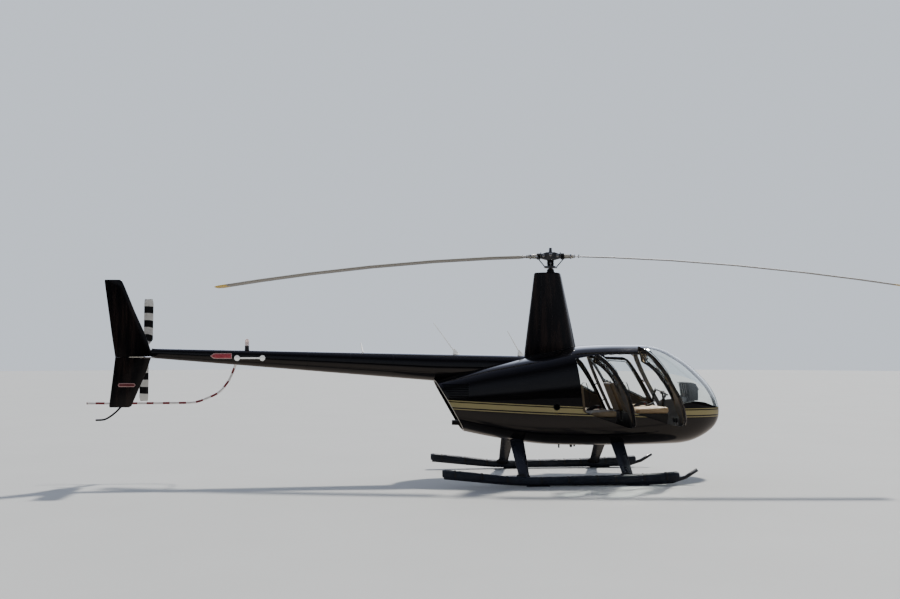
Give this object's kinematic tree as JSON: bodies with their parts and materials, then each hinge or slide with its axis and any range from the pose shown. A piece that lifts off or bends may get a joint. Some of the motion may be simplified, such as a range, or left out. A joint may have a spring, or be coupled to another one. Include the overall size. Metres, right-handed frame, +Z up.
{
  "type": "light helicopter",
  "caption": "Light piston helicopter with hinged cabin doors, a see-saw main rotor, a tail rotor beside a tall fin, and skids that carry stowed pop-out floats.",
  "frame": {"origin": "middle of the whole machine's footprint, on the ground under the skids", "axes": "+X forward towards the nose, +Y to the machine's left, +Z up"},
  "size_m": [11.9028, 2.4392, 3.408],
  "materials": {
    "body_black": "gloss black paint with a gold stripe along the sides",
    "gear_black": "semi-gloss dark paint",
    "rotor_grey": "semi-gloss dark grey paint",
    "blade_grey": "satin grey paint with yellow tips",
    "white_paint": "plain white paint",
    "guard_stripes": "red and white bands",
    "clear_pane": "clear, smooth",
    "tan_leather": "smooth, light tan, seamed",
    "dark_plastic": "fine grained, matte",
    "bare_steel": "bare, slightly heat stained at the exhaust",
    "engine_grey": "cast, dull grey",
    "float_fabric": "coated cloth, dull dark blue-black"
  },
  "bodies": {
    "airframe": {"cabin_tub": "body_black", "cabin_roof": "body_black", "rear_bulkhead": "dark_plastic", "instrument_panel": "dark_plastic", "cyclic_stick": "dark_plastic", "front_seat_base": "dark_plastic", "front_cushion_right": "tan_leather", "front_seat_back_right": "tan_leather", "front_cushion_left": "tan_leather", "front_seat_back_left": "tan_leather", "rear_seat_base": "dark_plastic", "rear_cushion_right": "tan_leather", "rear_seat_back_right": "tan_leather", "rear_cushion_left": "tan_leather", "rear_seat_back_left": "tan_leather", "windshield_right": "clear_pane", "windshield_left": "clear_pane", "cowl_right": "body_black", "cowl_left": "body_black", "skid_right": "gear_black", "skid_left": "gear_black", "float_right": "float_fabric", "float_left": "float_fabric", "tailcone_cowl": "body_black", "mast_fairing": "body_black", "engine": "engine_grey", "cooling_fan": "dark_plastic", "exhaust": "bare_steel", "tailcone": "body_black", "upper_fin": "body_black", "lower_fin": "body_black", "stabiliser": "body_black", "tail_gearbox": "gear_black", "tail_skid": "gear_black", "rotor_guard": "guard_stripes", "beacon": "clear_pane", "whip_fore": "gear_black", "whip_aft": "gear_black", "stub_aerial": "white_paint", "side_aerial": "white_paint", "landing_lamps": "clear_pane", "front_gear": "gear_black", "aft_gear": "gear_black"},
    "main_rotor": {"rotor_mast": "bare_steel", "swashplate": "rotor_grey", "rotor_hub": "rotor_grey", "rotor_blade_fore": "blade_grey", "rotor_blade_aft": "blade_grey"},
    "tail_rotor_body": {"tail_rotor": "blade_grey"},
    "right_front_door": {"front_door_right": "body_black", "front_door_pane_right": "clear_pane"},
    "right_rear_door": {"rear_door_right": "body_black", "rear_door_pane_right": "clear_pane"},
    "left_front_door": {"front_door_left": "body_black", "front_door_pane_left": "clear_pane"},
    "left_rear_door": {"rear_door_left": "body_black", "rear_door_pane_left": "clear_pane"}
  },
  "joints": [
    {"name": "main_rotor_spin", "type": "hinge", "parent": "airframe", "child": "main_rotor", "pos_m": [0.8717, 0.0554, 3.28], "axis": [0, 0, 1], "continuous": true},
    {"name": "tail_rotor_spin", "type": "hinge", "parent": "airframe", "child": "tail_rotor_body", "pos_m": [-5.1083, 0.3854, 1.876], "axis": [0, 1, 0], "continuous": true},
    {"name": "right_front_door_swing", "type": "hinge", "parent": "airframe", "child": "right_front_door", "pos_m": [2.6687, -0.5296, 0.98], "axis": [-0.4645, -0.0374, 0.8848], "range_deg": [-79, 9]},
    {"name": "right_rear_door_swing", "type": "hinge", "parent": "airframe", "child": "right_rear_door", "pos_m": [1.8807, -0.6066, 1.05], "axis": [-0.4151, 0, 0.9098], "range_deg": [-86, 2]},
    {"name": "left_front_door_swing", "type": "hinge", "parent": "airframe", "child": "left_front_door", "pos_m": [2.6687, 0.6404, 0.98], "axis": [0.4645, -0.0374, -0.8848], "range_deg": [-34, 54]},
    {"name": "left_rear_door_swing", "type": "hinge", "parent": "airframe", "child": "left_rear_door", "pos_m": [1.8807, 0.7174, 1.05], "axis": [0.4151, 0, -0.9098], "range_deg": [-34, 54]}
  ],
  "couplings": [
    {"joint": "tail_rotor_spin", "follows": "main_rotor_spin", "ratio": -5.9495}
  ]
}
